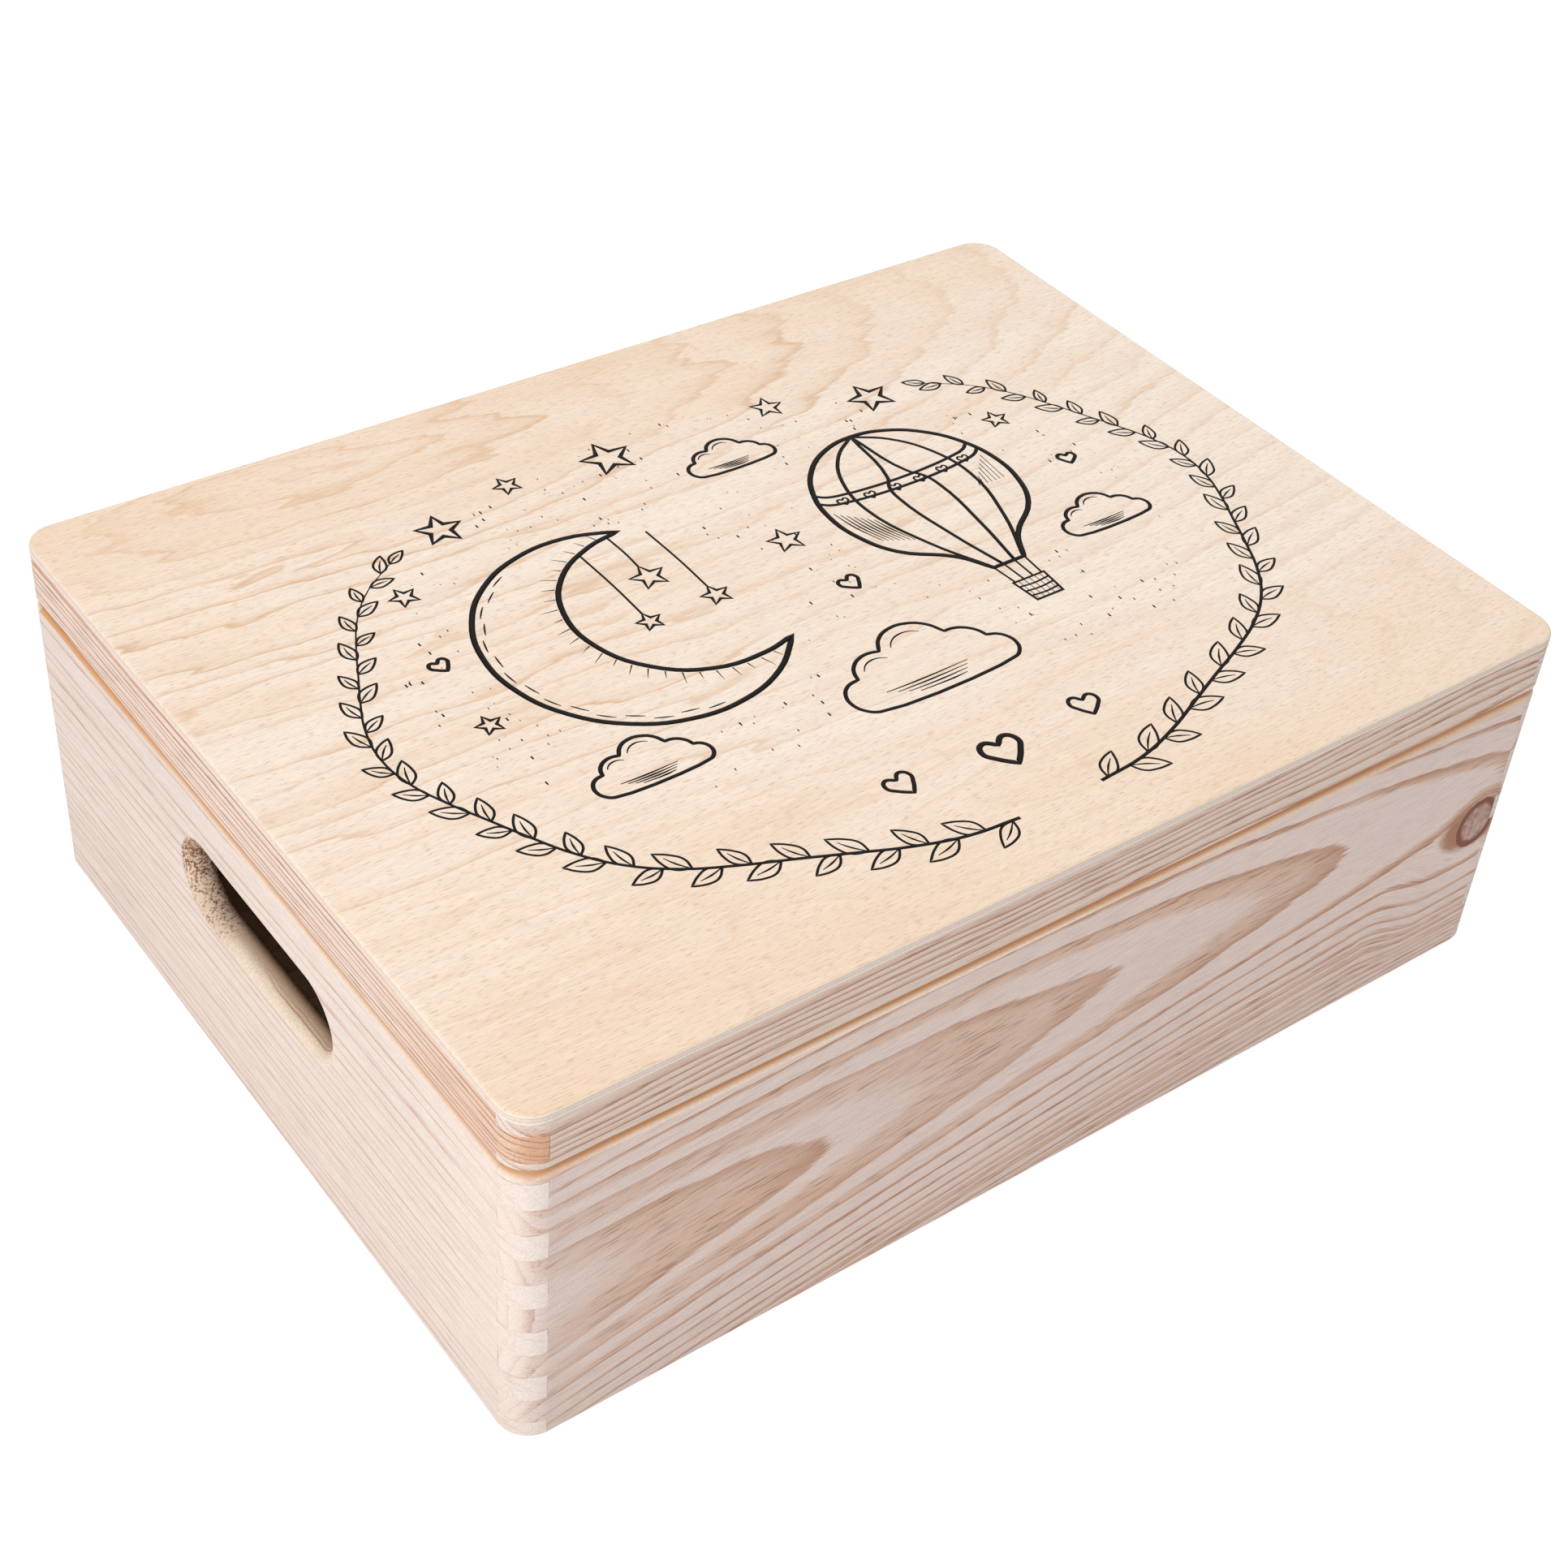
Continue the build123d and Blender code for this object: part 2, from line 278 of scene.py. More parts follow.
def paint_joint_lines(tree, colour, place, grain, finger_at):
    """Fine dark lines at the end of the fingers and at the foot of every second one, 0.3 to 0.4 mm wide,
    broken by glue and dust."""
    slack, pitches_down = 0.15, 20
    x, y, z = add(tree, "SeparateXYZ", {0: place})
    side_x = add(tree, "Math", {0: x}, operation="ABSOLUTE")[0]
    side_y = add(tree, "Math", {0: y}, operation="ABSOLUTE")[0]
    in_x = add(tree, "Math", {0: side_x, 1: HALF_LENGTH - BOARD - slack}, operation="GREATER_THAN")[0]
    in_y = add(tree, "Math", {0: side_y, 1: HALF_DEPTH - BOARD - slack}, operation="GREATER_THAN")[0]
    corner = product(tree, in_x, in_y)
    off_x = add(tree, "Math", {0: side_x, 1: HALF_LENGTH - BOARD}, operation="SUBTRACT")[0]
    off_y = add(tree, "Math", {0: side_y, 1: HALF_DEPTH - BOARD}, operation="SUBTRACT")[0]
    off_z = add(tree, "Math", {0: z, 1: finger_at - FINGER_PITCH * pitches_down}, operation="SUBTRACT")[0]
    off_z = add(tree, "Math", {0: off_z, 1: FINGER_PITCH}, operation="PINGPONG")[0]
    seam = None
    for off, width in ((off_y if grain == "X" else off_x, 0.22), (off_z, 0.14)):
        off = add(tree, "Math", {0: off}, operation="ABSOLUTE")[0]
        off = add(tree, "MapRange", {0: off, 1: width, 2: width * 0.3}, **EASED)[0]
        seam = off if seam is None else add(tree, "Math", {0: seam, 1: off}, operation="MAXIMUM")[0]
    seam = product(tree, seam, corner)
    broken = add(tree, "TexNoise", {"Vector": place, "Scale": 0.22, "Detail": 2.0})[0]
    broken = add(tree, "MapRange", {0: broken, 1: 0.35, 2: 0.6, 3: 0.05, 4: 0.8})[0]
    seam = product(tree, seam, broken)
    return blend(tree, seam, colour, linear("7E5C4A"))


def pine(name, pith, turn, ring, first, grain="X", sweep=0.0, sway=1.2, uneven=0.5, narrow=0.0, seed=0,
         rise=1.0, late_from=(0.25, 0.7), tones=("EBD6CB", "DDB79C", "B98363"), contrast=1.0,
         end_tone="F2E4DC", end_share=0.5, fade=0.0, amber=0.0, worn_ends=1.0, bow=0.0, knots=(),
         finger_at=BASE_FINGER, glow=0.0, slot=False):
    """Sawn and sanded pine board: matte, pale early wood that darkens to a brown line as each year ends.
    The rings are tubes round the pith, so faces, edges and end grain show one and the same log.

    pith and turn place the log, ring is the width of a year and first the radius of year nought. sweep
    bends the log, sway and uneven make its rings wander and differ, narrow makes the outer ones thinner
    and seed picks the weather. late_from and rise say when late wood starts and how fast it comes. fade
    and glow change the tone and the fresh cut along the board, amber is resin toward the near end,
    worn_ends the share of the figure left there, and bow how far the grain steps down under a knot."""
    material, tree, place, normal = start_material(name)
    x, y, z = add(tree, "SeparateXYZ", {0: place})
    normal_x, normal_y, normal_z = add(tree, "SeparateXYZ", {0: normal})
    length, end_normal = (x, normal_x) if grain == "X" else (y, normal_y)

    # The log's own axes: its pith is bent, and its rings wander and tremble
    tremor, lean_period = 0.15, 0.37
    at, knot_distances = place, []
    for knot in knots:
        at, distance = grain_round_knot(tree, at, knot)
        knot_distances.append(distance)
    bend = product(tree, length, length)
    bend = product(tree, bend, sweep)
    if bow:
        # Under the knot near the right end the grain steps down and leaves a wide pale patch
        step_start, step_end, knot_middle, lowest = 134.0, 166.0, 64.0, 0.0
        bowed = add(tree, "MapRange", {0: length, 1: step_start, 2: step_end, 3: 0.0, 4: bow}, **EASED)[0]
        under = add(tree, "MapRange", {0: z, 1: knot_middle, 2: knot_middle - 26}, **EASED)[0]
        over = add(tree, "MapRange", {0: z, 1: lowest, 2: lowest + 22}, **EASED)[0]
        bowed = product(tree, bowed, under)
        bend = add(tree, "Math", {0: bowed, 1: over, 2: bend}, operation="MULTIPLY_ADD")[0]
    bend = add(tree, "CombineXYZ", {2: bend})[0]
    at = add(tree, "VectorMath", {0: at, 1: bend}, operation="ADD")[0]
    rotation = [math.radians(degrees) for degrees in turn]
    log = add(tree, "Mapping", {"Vector": at, "Location": pith, "Rotation": rotation},
              vector_type="TEXTURE")[0]
    across = add(tree, "VectorMath", {0: log, 1: (0, 1, 1)}, operation="MULTIPLY")[0]
    radius = add(tree, "VectorMath", {0: across}, operation="LENGTH")["Value"]
    slow = unevenness(tree, log, (95, 17, 17), 1.0)
    slow = add(tree, "MapRange", {0: slow, 1: 0.2, 2: 0.8, 3: -sway, 4: sway})[0]
    quick = unevenness(tree, log, (26, 1.3, 1.3), 2.0)
    quick = add(tree, "MapRange", {0: quick, 1: 0.2, 2: 0.8, 3: -tremor, 4: tremor})[0]
    radius = add(tree, "Math", {0: radius, 1: slow}, operation="ADD")[0]
    radius = add(tree, "Math", {0: radius, 1: quick}, operation="ADD")[0]
    years = add(tree, "Math", {0: radius, 1: first}, operation="SUBTRACT")[0]
    years = add(tree, "Math", {0: years, 1: ring}, operation="DIVIDE")[0]
    closer = add(tree, "Math", {0: years, 1: narrow, 2: 1.0}, operation="MULTIPLY_ADD")[0]
    years = product(tree, years, closer)
    lean_years = product(tree, years, lean_period)
    lean_years = add(tree, "TexNoise", {"W": lean_years, "Scale": 1.0, "Detail": 1.0},
                     noise_dimensions="1D")[0]
    lean_years = add(tree, "MapRange", {0: lean_years, 1: 0.3, 2: 0.7, 3: -uneven, 4: uneven})[0]
    years = add(tree, "Math", {0: years, 1: lean_years}, operation="ADD")[0]
    season = add(tree, "Math", {0: years}, operation="FRACT")[0]
    year = add(tree, "Math", {0: years}, operation="FLOOR")[0]
    year = add(tree, "Math", {0: year, 1: seed}, operation="ADD")[0]
    weather = add(tree, "TexWhiteNoise", {"W": year}, noise_dimensions="1D")["Value"]

    # Late wood comes in slowly and stops at once, more in some years than in others
    line_begins, full_by, stops_from = 0.74, 0.97, 0.955
    start = add(tree, "MapRange", {0: weather, 3: late_from[0], 4: late_from[1]})[0]
    full = add(tree, "MapRange", {0: rise, 3: start, 4: full_by})[0]
    late = add(tree, "MapRange", {0: season, 1: start, 2: full}, **EASED)[0]
    stop = add(tree, "MapRange", {0: season, 1: 1.0, 2: stops_from}, **EASED)[0]
    late = product(tree, late, stop)
    patchy = unevenness(tree, log, (60, 9, 9), 2.0)
    patchy = add(tree, "MapRange", {0: patchy, 1: 0.3, 2: 0.7, 3: 0.55, 4: 1.0})[0]
    late = product(tree, late, patchy)
    late = product(tree, late, contrast)
    line = add(tree, "MapRange", {0: season, 1: line_begins, 2: full_by}, **EASED)[0]
    line = product(tree, line, stop)
    line = product(tree, line, patchy)
    hardness = add(tree, "MapRange", {0: weather, 3: 0.45 * contrast, 4: 0.95 * contrast})[0]
    line = product(tree, line, hardness)
    if worn_ends < 1:
        near_end = -HALF_LENGTH if grain == "X" else -HALF_DEPTH
        worn_part = {0: length, 1: near_end + 6, 2: near_end + 48, 3: worn_ends, 4: 1.0}
        worn = add(tree, "MapRange", worn_part, **EASED)[0]
        late = product(tree, late, worn)
        line = product(tree, line, worn)
    pale, warm, brown = (linear(tone) for tone in tones)
    if amber:
        resin = add(tree, "MapRange", {0: length, 1: -70.0, 2: -150.0, 3: 0.0, 4: amber})[0]
        pale = blend(tree, resin, pale, linear("DDA57C"))
    colour = blend(tree, late, pale, warm)
    colour = blend(tree, line, colour, brown)

    # Fibres 0.4 mm wide, drawn coarser than the real 0.05 mm, and slow changes of tone along the board
    fibre = unevenness(tree, log, (11, 0.55, 0.55), 3.0, 0.65)
    fibre_tone = add(tree, "MapRange", {0: fibre, 1: 0.3, 2: 0.7, 3: 0.89, 4: 1.06})[0]
    cloud = unevenness(tree, log, (110, 30, 30), 1.0)
    cloud = add(tree, "MapRange", {0: cloud, 1: 0.3, 2: 0.7, 3: 0.975, 4: 1.02})[0]
    cloud = add(tree, "Math", {0: length, 1: fade, 2: cloud}, operation="MULTIPLY_ADD")[0]
    tone = product(tree, fibre_tone, cloud)
    colour = scaled(tree, colour, tone)

    # Resin canals: dark dashes, most of them in the late wood, drawn 0.5 mm wide instead of 0.2 mm
    dash = unevenness(tree, log, (15, 0.6, 0.6), 1.0)
    dash = add(tree, "MapRange", {0: dash, 1: 0.57, 2: 0.66}, **EASED)[0]
    in_late = add(tree, "Math", {0: late, 1: 0.6, 2: 0.15}, operation="MULTIPLY_ADD")[0]
    dash = product(tree, dash, in_late)
    dash = product(tree, dash, contrast)
    colour = blend(tree, dash, colour, linear("97694F"))

    # Raised fibre ends catch the light: painted highlight specks, lighter and darker, drawn 0.5 mm wide
    # instead of 0.1 mm
    fibre_glint = unevenness(tree, place, (0.75, 0.75, 0.45), 1.0)
    fibre_glint = add(tree, "MapRange", {0: fibre_glint, 1: 0.32, 2: 0.72, 3: 0.95, 4: 1.07})[0]
    colour = scaled(tree, colour, fibre_glint)

    # Sander scratches cross the grain in faint arcs round one centre, drawn 0.9 mm apart instead of 0.2 mm
    arc_centre, scratch_gap = (60, 60, -150), 0.9
    arcs = add(tree, "VectorMath", {0: place, 1: arc_centre}, operation="SUBTRACT")[0]
    counted = (1, 1, 1) if slot else (1, 0, 1)
    arcs = add(tree, "VectorMath", {0: arcs, 1: counted}, operation="MULTIPLY")[0]
    arcs = add(tree, "VectorMath", {0: arcs}, operation="LENGTH")["Value"]
    arcs = product(tree, arcs, 1 / scratch_gap)
    arcs = add(tree, "TexNoise", {"W": arcs, "Scale": 1.0, "Detail": 1.0}, noise_dimensions="1D")[0]
    zone = add(tree, "TexNoise", {"Vector": place, "Scale": 0.018, "Detail": 1.0})[0]
    zone = add(tree, "MapRange", {0: zone, 1: 0.45, 2: 0.65, 3: 0.0, 4: 1.0})[0]
    scratch = add(tree, "MapRange", {0: arcs, 1: 0.35, 2: 0.65, 3: -0.03, 4: 0.03})[0]
    scratch = add(tree, "Math", {0: scratch, 1: zone, 2: 1.0}, operation="MULTIPLY_ADD")[0]
    colour = scaled(tree, colour, scratch)

    # End grain has a tone of its own, speckled by the cut fibres, and its years are warmer arcs
    end = add(tree, "Math", {0: end_normal}, operation="ABSOLUTE")[0]
    end = add(tree, "MapRange", {0: end, 1: 0.45, 2: 0.9}, **EASED)[0]
    speck = add(tree, "TexNoise", {"Vector": place, "Scale": 1.6, "Detail": 2.0})[0]
    speck = add(tree, "MapRange", {0: speck, 1: 0.35, 2: 0.65, 3: 0.93, 4: 1.05})[0]
    ends = blend(tree, end_share, colour, linear(end_tone))
    arc_share = product(tree, line, 0.45)
    ends = blend(tree, arc_share, ends, linear("CC8B5C"))
    ends = scaled(tree, ends, speck)
    colour = blend(tree, end, colour, ends)

    colour = paint_fresh_cut(tree, colour, place, normal_z, end, grain, glow)
    colour = paint_joint_lines(tree, colour, place, grain, finger_at)
    for knot, distance in zip(knots, knot_distances):
        colour = paint_knot(tree, colour, place, distance, knot)

    relief = add(tree, "Math", {0: fibre, 1: late}, operation="ADD")[0]
    rough = add(tree, "MapRange", {0: late, 3: 0.68, 4: 0.56})[0]
    depth = 0.05
    if slot:
        colour, relief = paint_slot(tree, colour, relief, place)
        depth = 0.25
    bump = add(tree, "Bump", {"Height": relief, "Strength": 0.6, "Distance": depth * MM})[0]
    shader = add(tree, "BsdfPrincipled",
                 {"Base Color": colour, "Roughness": rough, "IOR": 1.45, "Normal": bump})
    add(tree, "OutputMaterial", {"Surface": shader[0]})
    return material


def paint_slot(tree, colour, relief, place):
    """The hand slot as the router left it: torn dark end grain at its far end, burnished along it and
    scorched in two thin lines, with painted shade browning it deeper in and darkening the top of its far
    end."""
    rounding = 5.0
    x = add(tree, "SeparateXYZ", {0: place})[0]
    off = add(tree, "VectorMath", {0: place, 1: SLOT_MIDDLE}, operation="SUBTRACT")[0]
    off_y, off_z = add(tree, "SeparateXYZ", {0: off})[1:3]
    inward = add(tree, "Math", {0: x}, operation="ABSOLUTE")[0]
    inward = add(tree, "Math", {0: HALF_LENGTH, 1: inward}, operation="SUBTRACT")[0]

    # All that lies within the rounding, measured from the middle line of the slot
    beside = add(tree, "Math", {0: off_y}, operation="ABSOLUTE")[0]
    beside = add(tree, "Math", {0: beside, 1: SLOT_END - SLOT_RADIUS}, operation="SUBTRACT")[0]
    beside = add(tree, "Math", {0: beside, 1: 0.0}, operation="MAXIMUM")[0]
    around = add(tree, "CombineXYZ", {1: beside, 2: off_z})[0]
    around = add(tree, "VectorMath", {0: around}, operation="LENGTH")["Value"]
    ragged = add(tree, "TexNoise", {"Vector": place, "Scale": 0.9, "Detail": 2.0})[0]
    around = add(tree, "Math", {0: ragged, 1: 1.4, 2: around}, operation="MULTIPLY_ADD")[0]
    cut = add(tree, "MapRange", {0: around, 1: SLOT_RADIUS + rounding, 2: SLOT_RADIUS + rounding - 0.7})[0]

    # Along the slot: burnished cream marked by the cutter, browner deeper in as painted shade inside the
    # recess
    chatter = unevenness(tree, place, (0.8, 0.6, 0.8), 3.0, 0.6)
    chatter_tone = add(tree, "MapRange", {0: chatter, 1: 0.3, 2: 0.7, 3: 0.82, 4: 1.1})[0]
    painted_depth_shade = add(tree, "MapRange", {0: inward, 1: 1.2, 2: 7.5}, **EASED)[0]
    smooth = blend(tree, painted_depth_shade, linear("F6E2CC"), linear("DDB898"))

    # Two thin scorched lines on its lower side, toward the front
    wobble = add(tree, "TexNoise", {"Vector": place, "Scale": 0.06, "Detail": 1.0})[0]
    wobble = add(tree, "Math", {0: wobble, 1: 3.0, 2: inward}, operation="MULTIPLY_ADD")[0]
    scorch = add(tree, "Math", {0: wobble, 1: 4.6}, operation="SUBTRACT")[0]
    scorch = add(tree, "Math", {0: scorch, 1: 0.65}, operation="PINGPONG")[0]
    scorch = add(tree, "MapRange", {0: scorch, 1: 0.45, 2: 0.1, 3: 0.0, 4: 0.75}, **EASED)[0]
    band = add(tree, "Math", {0: wobble, 1: 5.0}, operation="SUBTRACT")[0]
    band = add(tree, "Math", {0: band}, operation="ABSOLUTE")[0]
    band = add(tree, "MapRange", {0: band, 1: 1.1, 2: 0.6})[0]
    toward_front = add(tree, "MapRange", {0: off_y, 1: 10.0, 2: -16.0}, **EASED)[0]
    low = add(tree, "MapRange", {0: off_z, 1: -4.0, 2: -8.0}, **EASED)[0]
    scorch = product(tree, scorch, band)
    scorch = product(tree, scorch, toward_front)
    scorch = product(tree, scorch, low)
    smooth = blend(tree, scorch, smooth, linear("C48C58"))
    smooth = scaled(tree, smooth, chatter_tone)

    # At its far end: torn end grain, dark pits 1 mm across between pale tufts; more pits toward the top are
    # painted shade
    torn = unevenness(tree, place, (1.1, 0.8, 1.0), 4.0, 0.65)
    painted_top_shade = add(tree, "MapRange", {0: off_z, 1: -14.0, 2: 6.0, 3: -0.05, 4: 0.06})[0]
    pits = add(tree, "Math", {0: torn, 1: painted_top_shade}, operation="SUBTRACT")[0]
    pits = add(tree, "MapRange", {0: pits, 1: 0.4, 2: 0.56}, **EASED)[0]
    rough = blend(tree, pits, linear("855636"), linear("EBD0B8"))
    ends = add(tree, "MapRange", {0: off_y, 1: SLOT_END - 30, 2: SLOT_END - 14}, **EASED)[0]
    slot_colour = blend(tree, ends, smooth, rough)
    colour = blend(tree, cut, colour, slot_colour)
    slot_relief = add(tree, "Math", {0: torn, 1: ends, 2: chatter}, operation="MULTIPLY_ADD")[0]
    slot_relief = product(tree, slot_relief, cut)
    faint = product(tree, relief, 0.2)
    return colour, add(tree, "Math", {0: faint, 1: slot_relief}, operation="ADD")[0]


def birch_plywood(name, low, high, flame=1.0):
    """Rotary-cut birch plywood, sanded: matte cream veneer with contour-like growth lines and short fine
    pores, and three plies in its edge. low and high are its faces, and flame how strong its figure is."""
    material, tree, place, normal = start_material(name)
    x, y, z = add(tree, "SeparateXYZ", {0: place})
    normal_z = add(tree, "SeparateXYZ", {0: normal})[2]

    # The knife peels the log, so the growth lines are contours of slow hills, one at the back left and a
    # low one at the front. The lines are about 33 mm apart along the grain and 10 mm across it.
    waves = unevenness(tree, place, (75, 13, 40), 2.0)
    uneven = add(tree, "MapRange", {0: x, 1: -120.0, 2: 120.0, 3: 3.2, 4: 0.9})[0]
    flames = unevenness(tree, place, (13, 2.0, 10), 2.0)
    back_hill = add(tree, "Mapping",
                    {"Vector": place, "Location": (-110, 133, 0), "Scale": (32, 10.5, 1000)},
                    vector_type="TEXTURE")[0]
    back_hill = add(tree, "VectorMath", {0: back_hill}, operation="LENGTH")["Value"]
    front_hill = add(tree, "Mapping",
                     {"Vector": place, "Location": (20, -118, 0), "Scale": (34, 8, 1000)},
                     vector_type="TEXTURE")[0]
    front_hill = add(tree, "VectorMath", {0: front_hill}, operation="LENGTH")["Value"]
    front_hill = add(tree, "Math", {0: front_hill, 1: 18.4}, operation="ADD")[0]
    height = add(tree, "Math", {0: back_hill, 1: front_hill, 2: 2.5}, operation="SMOOTH_MIN")[0]
    height = add(tree, "Math", {0: waves, 1: uneven, 2: height}, operation="MULTIPLY_ADD")[0]
    height = add(tree, "Math", {0: flames, 1: 0.32, 2: height}, operation="MULTIPLY_ADD")[0]
    season = add(tree, "Math", {0: height}, operation="FRACT")[0]
    year = add(tree, "Math", {0: height}, operation="FLOOR")[0]
    weather = add(tree, "TexWhiteNoise", {"W": year}, noise_dimensions="1D")["Value"]
    weather = add(tree, "MapRange", {0: weather, 3: 0.45, 4: 1.0})[0]
    shade = add(tree, "MapRange", {0: season, 1: 0.35, 2: 0.93}, **EASED)[0]
    shade = product(tree, shade, 0.4)
    crest = add(tree, "MapRange", {0: season, 1: 0.78, 2: 0.93}, **EASED)[0]
    crest = add(tree, "Math", {0: crest, 1: 0.6, 2: shade}, operation="MULTIPLY_ADD")[0]
    stop = add(tree, "MapRange", {0: season, 1: 1.0, 2: 0.93}, **EASED)[0]
    line = product(tree, crest, stop)
    line = product(tree, line, weather)
    spread = add(tree, "TexNoise", {"Vector": place, "Scale": 0.011, "Detail": 1.0})[0]
    spread = add(tree, "MapRange", {0: spread, 1: 0.35, 2: 0.65, 3: 0.42, 4: 0.88})[0]
    toward_back = add(tree, "MapRange", {0: y, 1: -140.0, 2: 60.0, 3: 0.4, 4: 1.0 * flame})[0]
    line = product(tree, line, spread)
    line = product(tree, line, toward_back)
    softer = add(tree, "MapRange", {0: x, 1: -150.0, 2: 150.0, 3: 1.3, 4: 0.8})[0]
    line = product(tree, line, softer)
    colour = blend(tree, line, linear("F8E8D8"), linear("D8A97C"))

    # Warm flushes between the lines, and fibres and pores drawn 0.3 mm wide instead of 0.1 mm
    flush = unevenness(tree, place, (80, 22, 40), 2.0)
    flush = add(tree, "MapRange", {0: flush, 1: 0.4, 2: 0.7, 3: 0.0, 4: 0.3})[0]
    rim = add(tree, "Math", {0: y}, operation="ABSOLUTE")[0]
    rim = add(tree, "MapRange", {0: rim, 1: 70.0, 2: 150.0, 3: 0.0, 4: 0.5})[0]
    flush = add(tree, "Math", {0: flush, 1: rim}, operation="ADD")[0]
    flush = add(tree, "Math", {0: x, 1: -0.0006, 2: flush}, operation="MULTIPLY_ADD", use_clamp=True)[0]
    colour = blend(tree, flush, colour, linear("F0D2B4"))
    fibre = unevenness(tree, place, (9, 0.42, 0.42), 3.0, 0.6)
    fibre_tone = add(tree, "MapRange", {0: fibre, 1: 0.3, 2: 0.7, 3: 0.91, 4: 1.06})[0]
    colour = scaled(tree, colour, fibre_tone)
    pore = unevenness(tree, place, (3.4, 0.5, 0.5), 2.0)
    pore = add(tree, "MapRange", {0: pore, 1: 0.54, 2: 0.7, 3: 0.0, 4: 0.5}, **EASED)[0]
    colour = blend(tree, pore, colour, linear("C9A27E"))

    # The edge: thin face veneers on a core that shows its end grain, with fine glue lines
    edge = add(tree, "Math", {0: normal_z}, operation="ABSOLUTE")[0]
    edge = add(tree, "MapRange", {0: edge, 1: 0.8, 2: 0.45}, **EASED)[0]
    ply = add(tree, "Math", {0: z, 1: (low + high) / 2}, operation="SUBTRACT")[0]
    ply = add(tree, "Math", {0: ply}, operation="ABSOLUTE")[0]
    half_core = (high - low) / 2 - FACE_VENEER
    core = add(tree, "MapRange", {0: ply, 1: half_core + 0.1, 2: half_core - 0.1})[0]
    glue = add(tree, "Math", {0: ply, 1: half_core}, operation="SUBTRACT")[0]
    glue = add(tree, "Math", {0: glue}, operation="ABSOLUTE")[0]
    glue = add(tree, "MapRange", {0: glue, 1: 0.2, 2: 0.05, 3: 0.0, 4: 0.35})[0]
    ends = unevenness(tree, place, (0.6, 0.6, 1.5), 2.0)
    ends = add(tree, "MapRange", {0: ends, 1: 0.3, 2: 0.7, 3: 0.9, 4: 1.04})[0]
    ply_colour = blend(tree, core, linear("F8EBDE"), linear("EFDDCE"))
    ply_colour = blend(tree, glue, ply_colour, linear("B98F70"))
    ply_colour = scaled(tree, ply_colour, ends)
    colour = blend(tree, edge, colour, ply_colour)

    rough = add(tree, "MapRange", {0: line, 3: 0.64, 4: 0.56})[0]
    bump = add(tree, "Bump", {"Height": fibre, "Strength": 0.5, "Distance": 0.03 * MM})[0]
    shader = add(tree, "BsdfPrincipled",
                 {"Base Color": colour, "Roughness": rough, "IOR": 1.45, "Normal": bump})
    add(tree, "OutputMaterial", {"Surface": shader[0]})
    return material


def zinc_plated_steel():
    """Pressed steel with bright zinc: a grey mirror blurred by rolling lines, drawn 0.25 mm apart instead
    of 0.05 mm, and cloudy where the bath was uneven."""
    material, tree, place = start_material("zinc_plated_pressed_steel")[:3]
    roll = unevenness(tree, place, (12, 0.25, 0.25), 3.0)
    cloud = add(tree, "TexNoise", {"Vector": place, "Scale": 0.22, "Detail": 3.0})[0]
    colour = blend(tree, cloud, linear("B9BDC0"), linear("D6D8D8"))
    rough = add(tree, "MapRange", {0: cloud, 1: 0.3, 2: 0.7, 3: 0.28, 4: 0.42})[0]
    bump = add(tree, "Bump", {"Height": roll, "Strength": 0.4, "Distance": 0.01 * MM})[0]
    shader = add(tree, "BsdfPrincipled",
                 {"Base Color": colour, "Metallic": 1.0, "Roughness": rough, "Normal": bump})
    add(tree, "OutputMaterial", {"Surface": shader[0]})
    return material


# ---------------------------------------------------------------- the printed picture


def printed_ink():
    """Black ink cured on raw birch: nearly matte, a little greyer where fibres stand through it."""
    material, tree, place = start_material("cured_black_printing_ink")[:3]
    fibre = unevenness(tree, place, (3.0, 0.25, 1.0), 2.0)
    thin = add(tree, "MapRange", {0: fibre, 1: 0.55, 2: 0.75, 3: 0.0, 4: 0.5}, **EASED)[0]
    colour = blend(tree, thin, linear("0E0A08"), linear("2B2420"))
    rough = add(tree, "MapRange", {0: fibre, 1: 0.3, 2: 0.7, 3: 0.45, 4: 0.62})[0]
    bump = add(tree, "Bump", {"Height": fibre, "Strength": 0.4, "Distance": 0.02 * MM})[0]
    shader = add(tree, "BsdfPrincipled", {"Base Color": colour, "Roughness": rough, "IOR": 1.5,
                                         "Specular IOR Level": 0.1, "Normal": bump})
    add(tree, "OutputMaterial", {"Surface": shader[0]})
    return material


def turned(centre, turn, points):
    """Points turned by degrees and moved to a centre on the lid."""
    cos, sin = math.cos(math.radians(turn)), math.sin(math.radians(turn))
    return [(centre[0] + cos * x - sin * y, centre[1] + sin * x + cos * y) for x, y in points]


def arc(centre, radius, start, end, count, squash=1.0):
    """Points on part of a circle, or of an ellipse squash times as tall."""
    angles = [math.radians(start + (end - start) * i / (count - 1)) for i in range(count)]
    return [(centre[0] + radius * math.cos(a), centre[1] + squash * radius * math.sin(a)) for a in angles]


